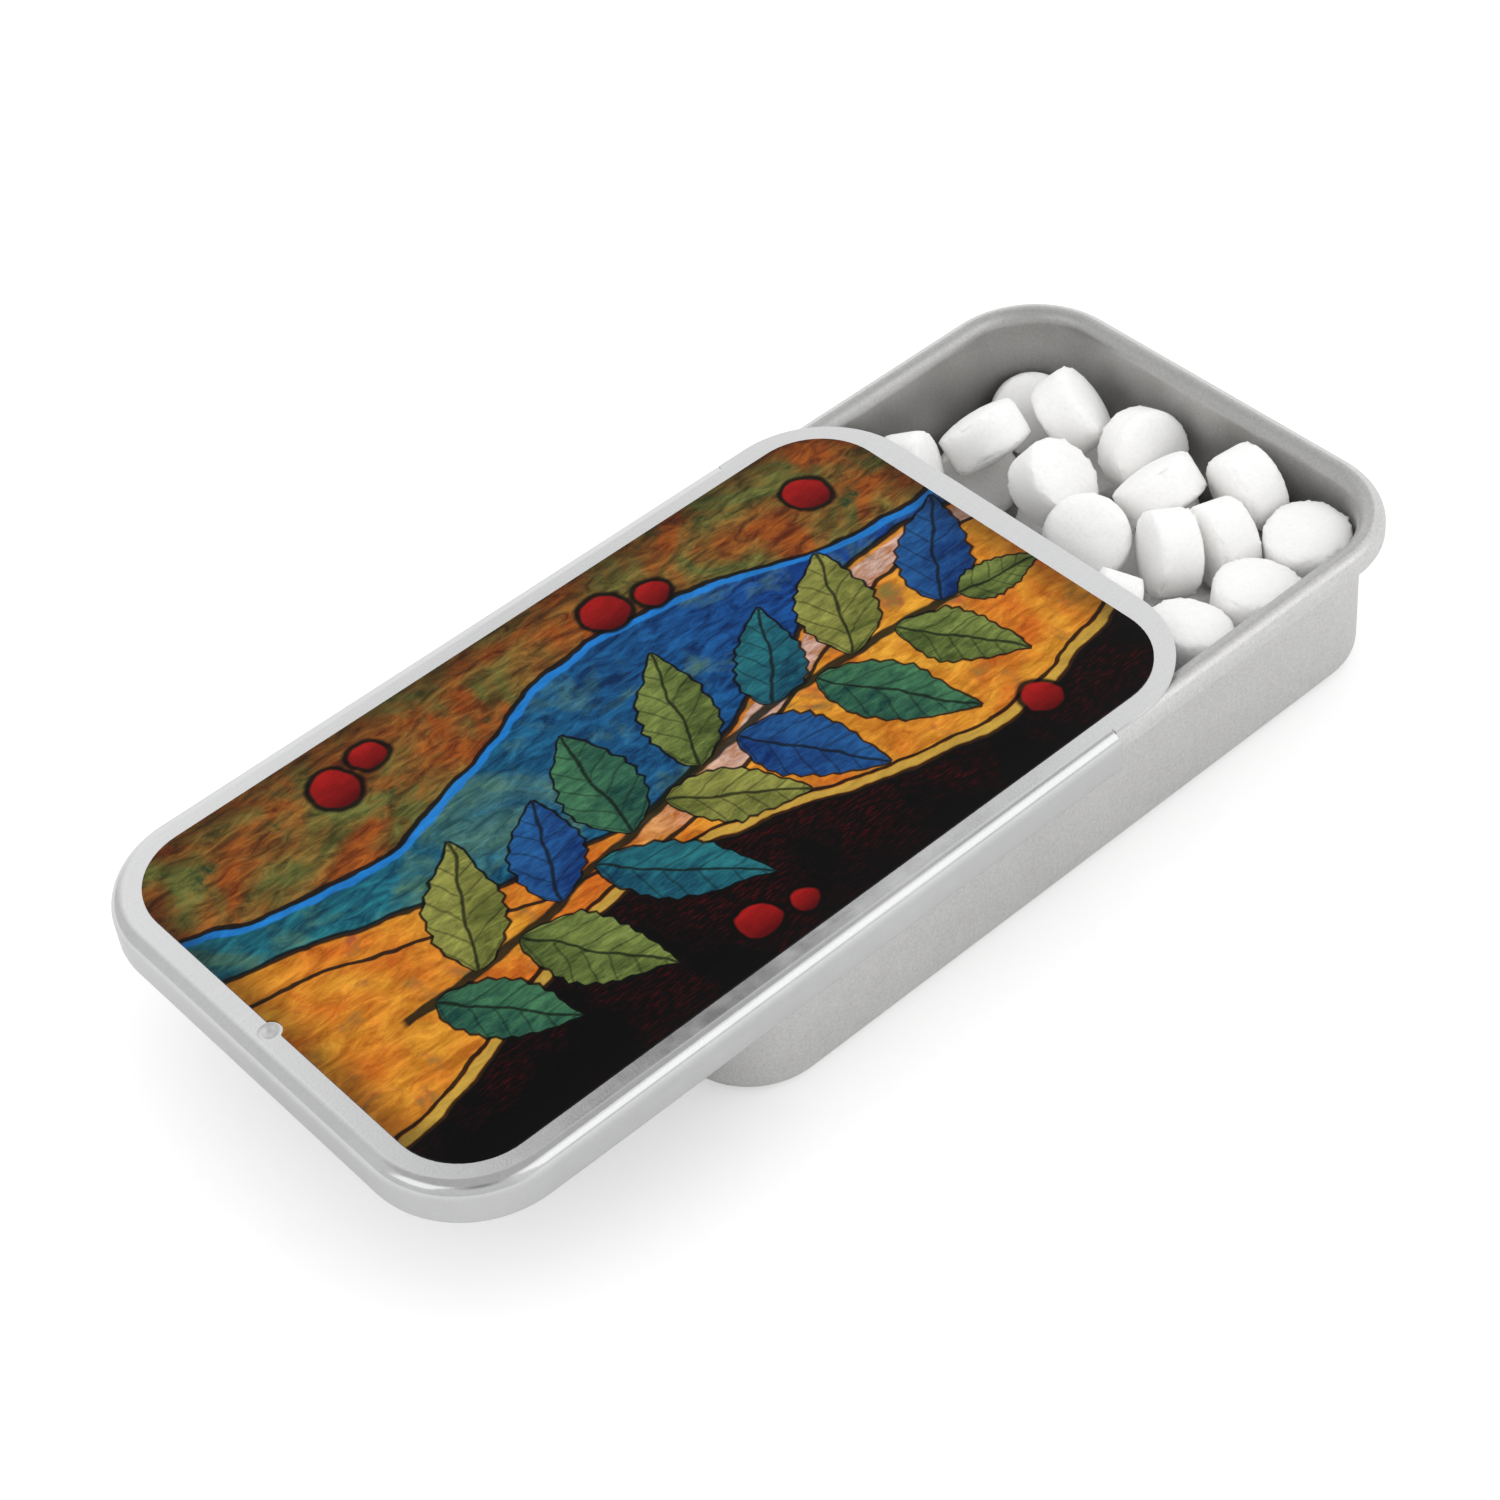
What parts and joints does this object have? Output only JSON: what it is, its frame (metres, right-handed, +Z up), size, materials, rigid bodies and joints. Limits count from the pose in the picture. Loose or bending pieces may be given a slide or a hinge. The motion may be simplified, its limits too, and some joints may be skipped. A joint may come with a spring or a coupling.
{
  "type": "sliding lid mint tin",
  "caption": "Pocket tin with a curled-rim tray, a sliding lid whose rails wrap the rim, a printed film on the lid and loose pressed mints inside.",
  "frame": {"origin": "middle of the flat underside of the tray", "axes": "+X along the tin towards the end that the lid uncovers first, +Y across it, +Z up"},
  "size_m": [0.0789, 0.0364, 0.0121],
  "materials": {
    "tinplate": "satin",
    "print": "gloss",
    "mint": "matte"
  },
  "bodies": {
    "tray": {"tray": "tinplate", "mint_01": "mint", "mint_02": "mint", "mint_03": "mint", "mint_04": "mint", "mint_05": "mint", "mint_06": "mint", "mint_07": "mint", "mint_08": "mint", "mint_09": "mint", "mint_10": "mint", "mint_11": "mint", "mint_12": "mint", "mint_13": "mint", "mint_14": "mint", "mint_15": "mint", "mint_16": "mint", "mint_17": "mint", "mint_18": "mint", "mint_19": "mint", "mint_20": "mint", "mint_21": "mint", "mint_22": "mint", "mint_23": "mint", "mint_24": "mint", "mint_25": "mint", "mint_26": "mint", "mint_27": "mint", "mint_28": "mint", "mint_29": "mint", "mint_30": "mint", "mint_31": "mint", "mint_32": "mint", "mint_33": "mint", "mint_34": "mint", "mint_35": "mint", "mint_36": "mint", "mint_37": "mint"},
    "lid": {"sliding_lid": "tinplate", "lid_label": "print"}
  },
  "joints": [
    {"name": "lid_slide", "type": "slide", "parent": "tray", "child": "lid", "axis": [-1, 0, 0], "range_m": [-0.0195, 0.022]}
  ]
}
